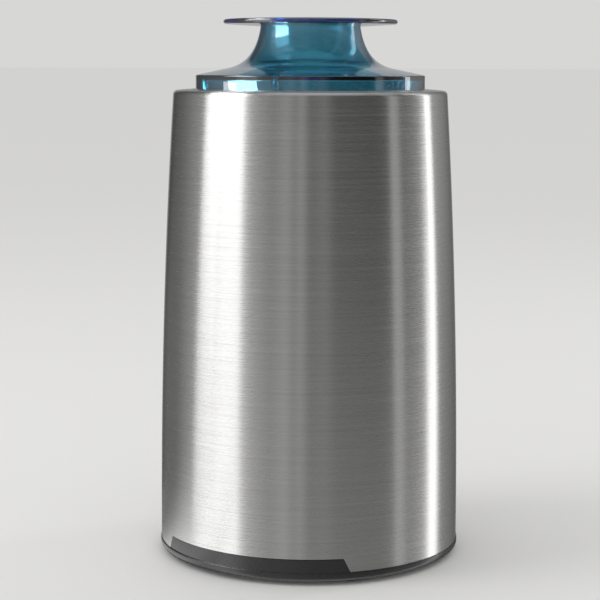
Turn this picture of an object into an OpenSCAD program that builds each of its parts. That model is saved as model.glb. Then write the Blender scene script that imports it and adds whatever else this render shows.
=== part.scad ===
// Electric spice grinder with a press-down lid.
// A tapered steel sleeve stands on a moulded base. Inside it a chassis carries the motor below
// and a well above. A sprung carrier in the well holds the lift-out cup with its blade, and the
// lid sits on the cup, so a push on the lid lowers all three and trips the switch.
// The origin is the centre of the footprint, +Z is up and the front is towards -Y.

/* [Sleeve] */
// Outer radius of the steel sleeve at its lower edge
sleeve_r = 54.1; // [53:0.1:60]
// Height of the sleeve from its lower edge to the lid's opening
sleeve_h = 162.6; // [160:0.2:190]
// Wall of the steel sheet
sleeve_wall = 0.8; // [0.6:0.1:1.2]
// How far the side draws in between its lower edge and the top
sleeve_taper = 5.3; // [3:0.1:6]
// Width of the steel deck round the lid, with the rounded shoulder
deck_w = 7.3; // [6:0.1:9]
// How far the deck falls from the lid's opening to the shoulder
deck_fall = 0.5; // [0:0.1:1]
// Rounding between the side and the deck
shoulder_r = 1.6; // [1.3:0.1:3]
// Height of the front cut-out in the lower edge
front_notch_h = 4.8; // [2:0.1:8]
// Width of the front cut-out along its top
front_notch_w = 67; // [30:0.5:76]
// How much wider the front cut-out is along the lower edge, on each side
front_notch_flare = 1.8; // [0:0.1:5]
// Height of the rear cut-out for the cord gland
rear_notch_h = 14.2; // [13.4:0.1:20]
// Width of the rear cut-out
rear_notch_w = 22; // [18:0.5:30]
// Corner radius of the rear cut-out
rear_notch_r = 3; // [1:0.5:6]

/* [Base] */
// Height of the dark rim that shows below the sleeve
rim_h = 3.1; // [2.6:0.1:6]
// How far the rim stands out past the sleeve
rim_proud = 0.3; // [0:0.05:1.5]
// How far the lower edge of the rim is rounded in
rim_tuck = 1.85; // [0.5:0.05:2.5]
// Rounding of the upper edge of the rim
rim_edge = 0.3; // [0.1:0.05:0.5]
// Thickness of the base floor
base_floor = 2.5; // [2.2:0.1:4]
// Wall of the collar that the sleeve slides over
collar_wall = 2.2; // [1.5:0.1:3]
// Height of that collar above the rim
collar_h = 9.4; // [6:0.1:12]
// Width of the shadow gap round the two tabs that fill the cut-outs
tab_gap = 0.2; // [0.1:0.05:0.6]
// Number of cooling slots in the floor
vent_count = 16; // [8:1:20]
// Width of one cooling slot
vent_w = 3; // [2:0.1:4]
// Length of one cooling slot between the centres of its round ends
vent_l = 13; // [6:0.5:15]

/* [Feet and base screws] */
// How far the rubber feet stand below the base
foot_proud = 1.5; // [0.8:0.1:4]
// Radius of a foot
foot_r = 6; // [5:0.1:7]
// Distance of the feet's centres inside the sleeve's lower edge
foot_inset = 10.1; // [9.5:0.1:12]
// Depth of the pocket that each foot sits in
foot_pocket = 1.7; // [1:0.1:2]
// Number of base screws, one to each leg of the chassis
screw_count = 4; // [4:1:4]
// Radius of a base screw's thread
screw_r = 1.5; // [1.2:0.1:1.8]
// How far a base screw reaches into its leg
screw_grip = 10; // [6:0.5:12]
// Height of the bosses that the legs of the chassis stand on
screw_boss_h = 4; // [3:0.1:6]

/* [Lid] */
// Gap between the lid's rim and the steel round it
lid_gap = 0.6; // [0.4:0.1:1]
// Wall of the clear lid
lid_wall = 1.6; // [1.2:0.1:1.8]
// Height of the lid's rim above the sleeve's opening
lid_rim_rise = 4.8; // [4.4:0.1:9]
// Depth of the lid's skirt below the sleeve's opening
lid_skirt = 9.2; // [6:0.1:14]
// Height from the rim's edge to the top of the lid
lid_rise = 20.3; // [16:0.1:30]
// Radius of the neck under the top disc
neck_r = 17.8; // [14:0.1:20]
// Outward lean of the neck at its top, as a slope
neck_lean = 0.14; // [0:0.01:0.4]
// Slope of the shoulder where it runs out to the rim
shoulder_slope = 0.21; // [0.1:0.01:0.3]
// Radius where the flare of the neck runs into the shoulder
flare_r = 29.4; // [25:0.1:34]
// Radius of the top disc
disc_r = 31; // [24:0.1:36]
// Thickness of the top disc over the neck
disc_t = 3.1; // [2.6:0.1:4]
// How far the domed top disc falls from its centre to its edge
disc_fall = 0.7; // [0.3:0.1:1]
// Rounding of the top disc's edge
disc_edge = 0.85; // [0.6:0.05:1]
// Number of ribs inside the rim
lid_ribs = 5; // [3:1:8]
// Thickness of one rib
lid_rib_t = 1.4; // [0.8:0.1:2]
// Height of the seal ring between the lid and the cup
seal_h = 1.5; // [1:0.1:3]
// Room for the seal between the lid's wall and the inside of the cup
seal_room = 2.5; // [2.3:0.1:3.2]

/* [Cup] */
// Wall of the cup
cup_wall = 0.8; // [0.5:0.1:1]
// Radius between the wall and the floor of the cup
cup_corner = 5; // [3:0.5:9]
// Width of the rolled rim of the cup
cup_rim_w = 1.9; // [1.4:0.1:2]
// Height of the plastic foot below the cup's floor
cup_foot_h = 8.2; // [7.6:0.1:10]
// How far the plastic foot reaches up round the cup
cup_foot_up = 8; // [4:0.5:12]
// Wall of the plastic foot
cup_foot_wall = 2.4; // [1.8:0.1:2.6]
// Length of the hub below the cup's floor
hub_h = 11.5; // [11:0.1:14]
// Number of ribs under the cup
cup_ribs = 6; // [3:3:9]

/* [Blade] */
// Gap between the tips of the blade and the wall of the cup
blade_gap = 6.8; // [3:0.1:10]
// Width of the blade at its middle
blade_w = 13; // [11:0.5:16]
// Width of the blade at its tips
blade_tip_w = 8; // [6:0.5:12]
// Thickness of the blade
blade_t = 1.6; // [1.2:0.1:2.4]
// Distance from the centre to the bend of each wing
blade_bend_r = 13; // [11:0.5:18]
// Upward bend of the wings, in degrees
blade_bend = 14; // [0:1:22]
// Height of the blade above the cup's floor
blade_lift = 4.4; // [4:0.1:8]
// Radius of the blade's shaft
shaft_r = 3; // [2.5:0.1:3.5]
// Width of the cap nut across its corners
nut_w = 10; // [8:0.1:11]
// Height of the cap nut's hexagon
nut_h = 3.6; // [3:0.1:5]

/* [Press mechanism] */
// Travel of the lid, the cup and the carrier when the lid is pressed
press_travel = 2.5; // [1.5:0.1:3]
// Thickness of the carrier ring
carrier_h = 3.4; // [3:0.1:5]
// Width of the carrier ring
carrier_w = 11.6; // [11:0.1:12]
// Number of springs under the carrier
spring_count = 3; // [3:1:3]
// Mean radius of one spring
spring_r = 3.2; // [2.8:0.1:3.4]
// Radius of the spring's wire
spring_wire = 0.35; // [0.25:0.05:0.45]
// Turns of one spring
spring_turns = 3; // [2:0.5:4]
// Angle of the switch and of the carrier's finger round the body
switch_angle = 45; // [40:1:50]

/* [Chassis] */
// Wall of the well
well_wall = 2.2; // [1.6:0.1:2.6]
// Thickness of the well's floor
well_floor = 2.6; // [2:0.1:4]
// Thickness of the flange under the sleeve's top
flange_t = 2; // [1.5:0.1:3]
// Radius of the legs' screw bosses
leg_boss_r = 4.5; // [3.6:0.1:4.7]
// Thickness of the legs' ribs
leg_rib_t = 3; // [2:0.1:4]
// Height of the hoop that ties the legs
hoop_h = 6; // [3:0.5:10]

/* [Motor] */
// Room round the motor, out to the radius of the well
motor_room = 12.5; // [12:0.1:14]
// Height of the motor's lower end above the base floor
motor_clear = 7.4; // [6:0.1:12]
// Height of the stack of laminations
stack_h = 26; // [20:0.5:28]
// Radius of the stator's bore, as a share of its outer radius
bore_share = 0.54; // [0.5:0.01:0.56]
// Outer radius of the pole shoes, as a share of the stator's outer radius
shoe_share = 0.6; // [0.58:0.01:0.64]
// Inner radius of the yoke, as a share of the stator's outer radius
yoke_share = 0.8; // [0.76:0.01:0.82]
// Gap between the armature and the stator
air_gap = 0.5; // [0.4:0.05:0.8]
// How far the windings stand out of the stack at each end
overhang = 6.5; // [5:0.1:7.5]
// Number of slots in the armature
slot_count = 12; // [8:1:12]
// Radius of the motor shaft
motor_shaft_r = 3; // [2.5:0.1:3.5]
// Outer radius of the ball bearings
bearing_r = 9.5; // [8:0.1:10.5]
// Width of the ball bearings
bearing_w = 6; // [5:0.1:7]
// Radius of the commutator
commutator_r = 9.5; // [8:0.1:10.5]
// Length of the commutator
commutator_h = 11; // [10:0.5:13]
// Gap between the cooling fan and the legs of the upper bracket
fan_gap = 1.3; // [0.8:0.1:5]
// Height of the cooling fan
fan_h = 5.5; // [4:0.1:7]
// Number of vanes on the fan
fan_vanes = 11; // [7:1:13]
// Length of a carbon brush
brush_l = 10; // [8:0.5:12]
// Width of a carbon brush
brush_w = 6; // [5:0.5:7]
// Height of a carbon brush
brush_h = 7; // [5:0.5:8]

/* [Switch and gland] */
// Length of the switch body
switch_l = 27.8; // [26:0.1:29]
// Height of the switch body
switch_h = 15.9; // [12:0.1:17]
// Thickness of the switch body
switch_t = 9.4; // [8:0.1:9.6]
// Radius of the cord's way through the gland
cord_r = 3.3; // [2.8:0.1:3.8]
// Radius of the gland's body in the wall
gland_r = 5; // [4.6:0.1:5.4]
// Width of the gland's lips past its body
gland_lip = 1.2; // [0.8:0.1:1.5]

/* [Hidden] */
$fn = 96;

// How far a cut runs past the face that it opens
over = 1;
// Gap between pieces that move apart
seat_gap = 0.3;
// Gap round a shaft that turns in a bearing
running = 0.05;
// Gap round a piece that is pushed into its place and stays
snug = 0.05;

// Levels of the outside, from the floor up
base_z = foot_proud;
sleeve_z = base_z + rim_h;
floor_top = base_z + base_floor;
top_z = sleeve_z + sleeve_h;
collar_top = sleeve_z + collar_h;
foot_ring = sleeve_r - foot_inset;
boss_top = floor_top + screw_boss_h;
gland_z = sleeve_z + rear_notch_h / 2 - 0.4;

// Radii from the deck in: the opening, the lid and the cup
opening_r = sleeve_r - sleeve_taper - deck_w;
lid_r = opening_r - lid_gap;
lid_in = lid_r - lid_wall;
cup_r = lid_in - seal_room;
deck_slope = deck_fall / (deck_w - shoulder_r);
cup_out = cup_r + cup_wall;
foot_in = cup_out + 0.15;
foot_out = foot_in + cup_foot_wall;
blade_r = cup_r - blade_gap;

// Radii of the well and the legs
well_r = opening_r + 0.5;
well_out = well_r + well_wall;
carrier_out = well_r - 0.4;
carrier_bore = carrier_out - carrier_w;
notch_r = foot_in - 0.3;
spring_ring = (carrier_out + carrier_bore) / 2;
leg_out = well_out - 0.4;
screw_ring = leg_out - leg_boss_r - 1.3;

// Levels of the lid
rim_z = top_z + lid_rim_rise;
lid_top = rim_z + lid_rise;
disc_z = lid_top - disc_t;
skirt_z = top_z - lid_skirt;
rib_z = top_z - sleeve_wall;
seal_z = rib_z - seal_h;
cup_top = seal_z - seat_gap;

// Levels of the motor, from the base up
bearing_lip = 0.6;
motor_end = floor_top + motor_clear;
lower_bearing_z = motor_end + bearing_lip + 0.9;
commutator_z = lower_bearing_z + bearing_w + 2.5;
commutator_top = commutator_z + commutator_h;
brush_z = commutator_z + commutator_h / 2 - 0.5;
winding_z = commutator_top + 0.8;
stack_z = winding_z + overhang;
stack_top = stack_z + stack_h;
fan_z = stack_top + overhang + 0.8;
fan_top = fan_z + fan_h;
upper_bearing_z = fan_top + 0.8;
bracket_top = upper_bearing_z + bearing_w + bearing_lip;
bracket_t = 3;
bracket_z = bracket_top - bracket_t;

// Levels of the drive, from the motor up to the cup's hub
socket_grip = 6.2;
prong_l = 6.2;
prong_w = 4.4;
prong_r = 6.4;
socket_r = 9.5;
socket_z = bracket_top + 2;
socket_floor = socket_z + socket_grip;
socket_top = socket_floor + prong_l + 0.8;
male_z = socket_top + press_travel + 0.6;
male_top = male_z + 2.8;
clip_t = 0.7;
hub_z = male_top + clip_t;

// Levels of the cup, from the hub up; its depth is the height that is left
cup_under = hub_z + hub_h;
cup_floor = cup_under + cup_wall;
foot_z = cup_under - cup_foot_h;
foot_deck = 2.4;
hub_r = 8.5;
hub_top = cup_floor + 1.2;
hub_neck_r = 6.9;
cup_hole_r = hub_neck_r + snug;
bush_r = 5;
bush_flange = 6.4;
shaft_neck_r = shaft_r - 0.5;
blade_z = cup_floor + blade_lift;
spacer_r = 5.2;
seal_lip_h = blade_lift - 1.2 - seat_gap - 1.2;
nut_z = blade_z + blade_t;

// Levels of the carrier and the well, from the cup down
carrier_top = foot_z - seat_gap;
carrier_z = carrier_top - carrier_h;
well_top = carrier_z - press_travel - 0.5;
well_z = well_top - well_floor;
dog_depth = 2.6;
spring_pocket = 2.2;
pocket_r = spring_r + spring_wire + 0.4;
spring_z = well_top;
spring_end = carrier_z + spring_pocket;
spout_r = 11;
spout_wall = 2;
spout_h = 2.5;
flange_z = top_z - sleeve_wall - flange_t;

// Radii of the motor
stator_r = well_r - motor_room;
stator_bore = stator_r * bore_share;
armature_r = stator_bore - air_gap;
slot_in = stator_r * shoe_share;
slot_out = stator_r * yoke_share;
bearing_seat = bearing_r + snug;
boss_r = bearing_r + 2.5;
leg_in = stator_r - 5.2;
leg_spread = 11;
fan_r = leg_in - fan_gap;
tie_ring = stator_r - 2.8;
tie_r = 1.5;
post_ring = stator_r - 7;
post_r = 4;
damper_h = 1.6;

// The switch sits below the well's floor, on a plate that hangs from it
plate_r = stator_r + 3;
plate_t = 2.2;
switch_r = plate_r + plate_t;
switch_mid = switch_r + switch_t / 2;
pivot_y = switch_l / 2 - 3;
finger_y = -pivot_y + 3;
finger_t = 3.6;
finger_w = 2.4;
lever_reach = pivot_y - finger_y;
lever_t = 0.5;
lever_w = 4;
lever_drop = press_travel;
finger_drop = 6.6;
finger_z = well_z - 2.2;
switch_top = finger_z - press_travel - seat_gap - lever_t - 0.6;
switch_z = switch_top - switch_h;
lever_pivot_z = switch_top + 0.6 + lever_t / 2;
button_y = pivot_y - 8;
button_r = 1.2;

function sleeve_outer(z) = sleeve_r - sleeve_taper * pow((z - sleeve_z) / sleeve_h, 2);

// Points of an arc round [x, y] from angle a to angle b
function arc(x, y, r, a, b, steps = 8) =
    [for (i = [0:steps]) let (t = a + (b - a) * i / steps) [x + r * cos(t), y + r * sin(t)]];

// A point and the outward normal of a curve from a to c that is pulled towards b
function bend(a, b, c, t) = (1 - t) * (1 - t) * a + 2 * t * (1 - t) * b + t * t * c;
function bend_way(a, b, c, t) = 2 * (1 - t) * (b - a) + 2 * t * (c - b);
function bend_out(a, b, c, t) = let (d = bend_way(a, b, c, t)) [-d[1], d[0]] / norm(d);

module ring(r_out, r_in, z0, z1) {
    translate([0, 0, z0])
    difference() {
        cylinder(r = r_out, h = z1 - z0);
        translate([0, 0, -over])
            cylinder(r = r_in, h = z1 - z0 + 2 * over);
    }
}

module disc(r, z0, z1) {
    translate([0, 0, z0])
        cylinder(r = r, h = z1 - z0);
}

// A block of a ring between two radii, two angles and two levels
module ring_part(r_out, r_in, a0, a1, z0, z1) {
    rotate([0, 0, a0])
    rotate_extrude(angle = a1 - a0)
    translate([r_in, z0])
        square([r_out - r_in, z1 - z0]);
}

// A block that starts at the origin and runs along +X
module beam(length, width, height) {
    translate([0, -width / 2, -height / 2])
        cube([length, width, height]);
}

module around(count, first = 0) {
    for (i = [0:count - 1])
        rotate([0, 0, first + i * 360 / count])
            children();
}

module slot_hole(length, width, z0, z1) {
    translate([-length / 2, -width / 2, z0])
        cube([length, width, z1 - z0]);
    for (side = [-1, 1])
        translate([side * length / 2, 0, z0])
            cylinder(d = width, h = z1 - z0, $fn = 24);
}

// ---------------------------------------------------------------- lid

function neck_top() = [neck_r, disc_z];
function flare_end() = [flare_r, rim_z + (lid_r - flare_r) * shoulder_slope];
function flare_corner() =
    let (r = (neck_r + neck_lean * (disc_z - rim_z - lid_r * shoulder_slope))
            / (1 - neck_lean * shoulder_slope))
    [r, rim_z + (lid_r - r) * shoulder_slope];
function flare_point(t) = bend(neck_top(), flare_corner(), flare_end(), t);
function flare_inside(t) =
    flare_point(t) - lid_wall * bend_out(neck_top(), flare_corner(), flare_end(), t);

// The lens-shaped top disc, from the neck round its edge to the middle
function disc_outline() =
    let (edge_r = disc_r - disc_edge, steps = 10)
    let (edge_z = disc_dome(edge_r) - disc_edge)
    concat(
        arc(edge_r, edge_z, disc_edge, -90, 80),
        [for (i = [steps:-1:0]) [edge_r * i / steps, disc_dome(edge_r * i / steps)]]
    );
function disc_dome(r) = lid_top - disc_fall * pow(r / disc_r, 2);

module lid_shell() {
    flare_steps = 14;
    ceiling = lid_top - 1.2 * lid_wall;
    neck_in = neck_r - lid_wall;
    roof = [0, -lid_wall * sqrt(1 + pow(shoulder_slope, 2))];
    inner_corner = [lid_in, rim_z + lid_wall * shoulder_slope] + roof;
    color([0.25, 0.62, 0.78, 0.5]) {
        rotate_extrude()
        polygon(concat(
            [[lid_in, skirt_z], [lid_r - 0.4, skirt_z], [lid_r, skirt_z + 0.8], [lid_r, rim_z - 0.4]],
            [[lid_r - 0.4, rim_z + 0.4 * shoulder_slope]],
            [for (i = [flare_steps:-1:0]) flare_point(i / flare_steps)],
            disc_outline(),
            [[0, ceiling], [neck_in - 1, ceiling], [neck_in, ceiling - 1]],
            [for (i = [0:flare_steps]) flare_inside(i / flare_steps)],
            [inner_corner]
        ));
        around(lid_ribs, -82)
            lid_rib();
    }
}

// A rib that stiffens the rim and bears on the seal
module lid_rib() {
    rib_in = lid_in - 2.3;
    rib_top = rim_z - lid_wall + (lid_r - lid_in) * shoulder_slope;
    translate([rib_in, -lid_rib_t / 2, rib_z])
        cube([lid_in + 0.4 - rib_in, lid_rib_t, rib_top - rib_z]);
}

module lid_seal() {
    color([0.75, 0.78, 0.8])
        rotate_extrude()
        polygon([[cup_r + 0.1, seal_z + 0.4], [cup_r + 0.5, seal_z], [lid_in - 0.5, seal_z],
            [lid_in - 0.1, seal_z + 0.4], [lid_in - 0.1, rib_z], [cup_r + 0.1, rib_z]]);
}

// ---------------------------------------------------------------- cup

module grinding_cup() {
    corner_out = cup_corner + cup_wall;
    curl = cup_rim_w / 2;
    color([0.78, 0.79, 0.8])
        rotate_extrude()
        union() {
            polygon(concat(
                [[cup_hole_r, cup_under]],
                arc(cup_out - corner_out, cup_under + corner_out, corner_out, -90, 0),
                [[cup_out, cup_top - curl], [cup_r, cup_top - curl]],
                arc(cup_r - cup_corner, cup_floor + cup_corner, cup_corner, 0, -90),
                [[cup_hole_r, cup_floor]]
            ));
            translate([cup_r + curl, cup_top - curl])
                circle(r = curl, $fn = 32);
        }
}

module cup_foot() {
    color([0.14, 0.14, 0.15])
        difference() {
            union() {
                rotate_extrude()
                polygon([[foot_in, foot_z], [foot_out, foot_z], [foot_out, cup_under + cup_foot_up - 1],
                    [foot_out - 1, cup_under + cup_foot_up], [foot_in, cup_under + cup_foot_up]]);
                disc(foot_in + snug, cup_under - foot_deck, cup_under);
                disc(hub_r, hub_z, cup_under);
                disc(hub_neck_r, cup_under, hub_top);
                around(cup_ribs)
                    translate([0, -1, foot_z])
                        cube([foot_in + snug, 2, cup_under - foot_z]);
                around(3, 60)
                    ring_part(notch_r - 0.5, carrier_bore + 1.2, -6, 6, foot_z - dog_depth, cup_under);
            }
            disc(bush_r + snug, hub_z - over, hub_top + over);
            disc(bush_flange + snug, hub_top - 1, hub_top + over);
        }
}

module shaft_bush() {
    color([0.62, 0.5, 0.3])
        difference() {
            union() {
                disc(bush_r, hub_z, hub_top);
                disc(bush_flange, hub_top - 1 + snug, hub_top);
            }
            disc(shaft_r + running, hub_z - over, hub_top + over);
        }
}

// A lip seal on the bush keeps ground spice out of the bearing
module shaft_seal() {
    color([0.1, 0.1, 0.1])
        rotate_extrude()
        polygon([[shaft_r + seat_gap, hub_top], [hub_neck_r, hub_top], [hub_neck_r, hub_top + 0.6],
            [shaft_r + 1.4, hub_top + seal_lip_h], [shaft_r + seat_gap, hub_top + seal_lip_h]]);
}

// ---------------------------------------------------------------- blade

// Half of the blade's outline, from the middle to one tip
function wing_outline() = [[0, -blade_w / 2], [blade_bend_r, -blade_w / 2], [blade_r - 3.5, -blade_tip_w / 2],
    [blade_r, -blade_tip_w / 2 + 3], [blade_r, blade_tip_w / 2 - 1], [blade_r - 1.5, blade_tip_w / 2],
    [blade_bend_r, blade_w / 2], [0, blade_w / 2]];

// The strip seen from its side: flat in the middle, both wings bent up
module bent_strip() {
    rise = (blade_r + over - blade_bend_r) * tan(blade_bend);
    lip = blade_t * (1 / cos(blade_bend) - 1) + blade_t;
    reach = blade_r + over;
    inset = blade_bend_r - blade_t * tan(blade_bend / 2);
    rotate([90, 0, 0])
    translate([0, 0, -blade_w])
    linear_extrude(2 * blade_w)
        polygon([[-reach, rise], [-blade_bend_r, 0], [blade_bend_r, 0], [reach, rise],
            [reach, rise + lip], [inset, blade_t], [-inset, blade_t], [-reach, rise + lip]]);
}

// A wedge that grinds the leading edge of one wing from above
module edge_grind() {
    taper = atan2((blade_w - blade_tip_w) / 2, blade_r - 3.5 - blade_bend_r);
    grind = 35;
    translate([blade_bend_r + 1.5, -blade_w / 2 + 2.4, 0])
    rotate([0, -blade_bend, taper])
    translate([0, 0, blade_t])
    rotate([grind, 0, 0])
    translate([0, -blade_w, 0])
        cube([blade_r, blade_w, blade_w]);
}

module blade() {
    color([0.82, 0.83, 0.84])
        translate([0, 0, blade_z])
        difference() {
            intersection() {
                bent_strip();
                translate([0, 0, -over])
                linear_extrude(blade_r)
                    polygon(concat(wing_outline(), -1 * wing_outline()));
            }
            around(2)
                edge_grind();
            disc(shaft_neck_r + running, -over, blade_t + over);
        }
}

module blade_shaft() {
    shaft_z = male_z - prong_l + 1.2;
    color([0.7, 0.71, 0.72])
        union() {
            disc(shaft_r, shaft_z, blade_z - 1.2);
            disc(shaft_neck_r, shaft_z, nut_z + nut_h);
        }
}

// A spacer carries the blade on the shaft's shoulder
module blade_spacer() {
    color([0.72, 0.73, 0.74])
        ring(spacer_r, shaft_neck_r + running, blade_z - 1.2, blade_z);
}

module blade_nut() {
    nut_cap = 1.8;
    color([0.85, 0.85, 0.86])
        difference() {
            union() {
                translate([0, 0, nut_z])
                    cylinder(d = nut_w, h = nut_h, $fn = 6);
                translate([0, 0, nut_z + nut_h])
                intersection() {
                    scale_dome = nut_w * 0.42;
                    translate([0, 0, nut_cap - scale_dome])
                        sphere(r = scale_dome);
                    cylinder(r = nut_w * 0.4, h = nut_cap + over);
                }
            }
            disc(shaft_neck_r + snug, nut_z - over, nut_z + nut_h + 0.05);
        }
}

module shaft_clip() {
    color([0.35, 0.36, 0.38])
        difference() {
            ring(shaft_r + 2, shaft_r + snug, male_top + 0.1, male_top + clip_t - 0.1);
            translate([shaft_r - 0.5, -1.2, male_top - over])
                cube([3, 2.4, clip_t + 2 * over]);
        }
}

// The cross that drops into the motor's socket
module cross(r, w, z0, z1) {
    for (turn = [0, 90])
        rotate([0, 0, turn])
        translate([-r, -w / 2, z0])
            cube([2 * r, w, z1 - z0]);
}

module cup_coupling() {
    color([0.9, 0.9, 0.88])
        difference() {
            union() {
                disc(hub_r - 0.5, male_z, male_top);
                intersection() {
                    cross(prong_r, prong_w, male_z - prong_l, male_z + over);
                    disc(prong_r, male_z - prong_l, male_z + over);
                }
                disc(prong_w, male_z - prong_l, male_z);
            }
            disc(shaft_r + snug, male_z - prong_l + 1.2, male_top + over);
        }
}

// ---------------------------------------------------------------- press mechanism

module press_carrier() {
    color([0.2, 0.2, 0.22])
        difference() {
            union() {
                ring(carrier_out, carrier_bore, carrier_z, carrier_top);
                intersection() {
                    rotate([0, 0, switch_angle])
                    translate([switch_mid - finger_t / 2, finger_y - finger_w / 2, finger_z])
                        cube([finger_t, finger_w, carrier_top - finger_z]);
                    disc(carrier_out, finger_z, carrier_top);
                }
            }
            around(3, 60)
                ring_part(notch_r, carrier_bore - over, -7.5, 7.5, carrier_z - over, carrier_top + over);
            around(spring_count)
                translate([spring_ring, 0, 0])
                    disc(pocket_r, carrier_z - over, spring_end);
        }
}

// One coil spring with flat ends, swept as a closed tube
module coil_spring(r, wire, turns, z0, z1) {
    sides = 6;
    per_turn = 14;
    rings = ceil(turns * per_turn);
    low = z0 + wire + 0.02;
    rise = z1 - z0 - 2 * wire - 0.04;
    points = [for (i = [0:rings], j = [0:sides - 1])
        let (a = 360 * turns * i / rings, b = 360 * j / sides, q = r + wire * cos(b))
        [q * cos(a), q * sin(a), low + rise * i / rings + wire * sin(b)]];
    walls = [for (i = [0:rings - 1], j = [0:sides - 1])
        let (k = (j + 1) % sides)
        [i * sides + j, i * sides + k, (i + 1) * sides + k, (i + 1) * sides + j]];
    first = [for (j = [sides - 1:-1:0]) j];
    last = [for (j = [0:sides - 1]) rings * sides + j];
    polyhedron(points, concat(walls, [first, last]));
}

module carrier_springs() {
    color([0.6, 0.6, 0.62])
        around(spring_count)
            translate([spring_ring, 0, 0])
                coil_spring(spring_r, spring_wire, spring_turns, spring_z, spring_end);
}

// ---------------------------------------------------------------- sleeve and base

module front_notch(gap, z1) {
    half = front_notch_w / 2 - gap;
    translate([0, 0, sleeve_z])
    rotate([90, 0, 0])
    linear_extrude(sleeve_r + 2 * over)
        polygon([[-half - front_notch_flare, 0], [half + front_notch_flare, 0], [half, z1], [-half, z1]]);
    translate([-half - front_notch_flare, -sleeve_r - 2 * over, sleeve_z - over])
        cube([2 * (half + front_notch_flare), sleeve_r, over]);
}

module rear_notch(gap) {
    w = rear_notch_w - 2 * gap;
    h = rear_notch_h - gap;
    r = rear_notch_r;
    translate([0, 0, sleeve_z])
    rotate([90, 0, 180])
    linear_extrude(sleeve_r + 2 * over)
    union() {
        translate([-w / 2, -over])
            square([w, h - r + over]);
        translate([-w / 2 + r, -over])
            square([w - 2 * r, h + over]);
        for (side = [-1, 1])
            translate([side * (w / 2 - r), h - r])
                circle(r = r, $fn = 32);
    }
}

module steel_sleeve() {
    steps = 16;
    side_top = top_z - deck_fall - shoulder_r;
    levels = [for (i = [0:steps]) sleeve_z + (side_top - sleeve_z) * i / steps];
    corner = sleeve_outer(side_top) - shoulder_r;
    lean = atan(deck_slope);
    color([0.74, 0.75, 0.76])
        difference() {
            rotate_extrude()
            polygon(concat(
                [for (z = levels) [sleeve_outer(z), z]],
                arc(corner, side_top, shoulder_r, 10, 90 - lean),
                [[opening_r, top_z], [opening_r, top_z - sleeve_wall]],
                arc(corner, side_top, shoulder_r - sleeve_wall, 90 - lean, 10),
                [for (i = [steps:-1:0]) [sleeve_outer(levels[i]) - sleeve_wall, levels[i]]]
            ));
            front_notch(0, front_notch_h);
            rear_notch(0);
        }
}

module base() {
    rim_out = sleeve_outer(sleeve_z) + rim_proud;
    collar_out = sleeve_outer(sleeve_z) - sleeve_wall - 0.35;
    collar_in = collar_out - collar_wall;
    color([0.13, 0.13, 0.14])
        difference() {
            union() {
                rotate_extrude()
                polygon(concat(
                    [[0, base_z]],
                    arc(rim_out - rim_tuck, base_z + rim_tuck, rim_tuck, -90, 0, 6),
                    arc(rim_out - rim_edge, sleeve_z - rim_edge, rim_edge, 0, 90, 3),
                    [[collar_out, sleeve_z], [collar_out, collar_top - 0.8],
                        [collar_out - 0.8, collar_top], [collar_in, collar_top], [collar_in, floor_top],
                        [0, floor_top]]
                ));
                // Tabs that fill the cut-outs of the sleeve
                intersection() {
                    ring(sleeve_outer(sleeve_z) - 0.1, collar_in, sleeve_z, sleeve_z + front_notch_h);
                    front_notch(tab_gap, front_notch_h - tab_gap);
                }
                intersection() {
                    ring(sleeve_outer(sleeve_z) - 0.1, collar_in, sleeve_z, sleeve_z + rear_notch_h);
                    rear_notch(tab_gap);
                }
                around(screw_count)
                    translate([screw_ring, 0, 0])
                        disc(leg_boss_r + 1, floor_top - snug, boss_top);
                around(4, 45)
                    translate([foot_ring, 0, 0])
                        disc(foot_r + 1, floor_top - snug, floor_top + 1);
            }
            around(screw_count)
                translate([screw_ring, 0, 0]) {
                    disc(screw_r + 0.3, base_z - over, boss_top + over);
                    disc(2 * screw_r + 0.6, base_z - over, floor_top + 0.5);
                }
            around(4, 45)
                translate([foot_ring, 0, 0]) {
                    disc(foot_r + snug, base_z - over, base_z + foot_pocket);
                    disc(2.1, base_z, floor_top + 2);
                }
            around(vent_count, 180 / vent_count)
                translate([post_ring, 0, 0])
                    slot_hole(vent_l, vent_w, base_z - over, floor_top + over);
            translate([0, 0, gland_z])
            rotate([-90, 0, 0])
                cylinder(r = gland_r + snug, h = sleeve_r + over);
            translate([0, sleeve_r - 1.3, gland_z])
            rotate([-90, 0, 0])
                cylinder(r = gland_r + gland_lip + snug, h = 3);
        }
}

// Push-in feet: a pad in its pocket, a stem through the floor and a barb above it
module feet() {
    pad_top = base_z + foot_pocket;
    color([0.07, 0.07, 0.07])
        around(4, 45)
        translate([foot_ring, 0, 0])
        rotate_extrude()
        polygon(concat(
            [[0, 0]],
            arc(foot_r - 0.8, 0.8, 0.8, -90, 0, 4),
            [[foot_r, pad_top], [2, pad_top], [2, floor_top + 1.1], [2.8, floor_top + 1.3],
                [1.4, floor_top + 3], [0, floor_top + 3]]
        ));
}

// A pan-head screw with its head down and its point up
module screw(r, head_r, head_h, length) {
    difference() {
        union() {
            disc(head_r, 0, head_h);
            disc(r, 0, head_h + length);
        }
        cross(head_r * 0.6, 0.9, -over, head_h * 0.5);
    }
}

module base_screws() {
    head_h = 2 * screw_r - 0.6;
    color([0.55, 0.56, 0.58])
        around(screw_count)
            translate([screw_ring, 0, floor_top + 0.5 - head_h])
                screw(screw_r, 2 * screw_r, head_h, screw_boss_h + screw_grip);
}

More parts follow.
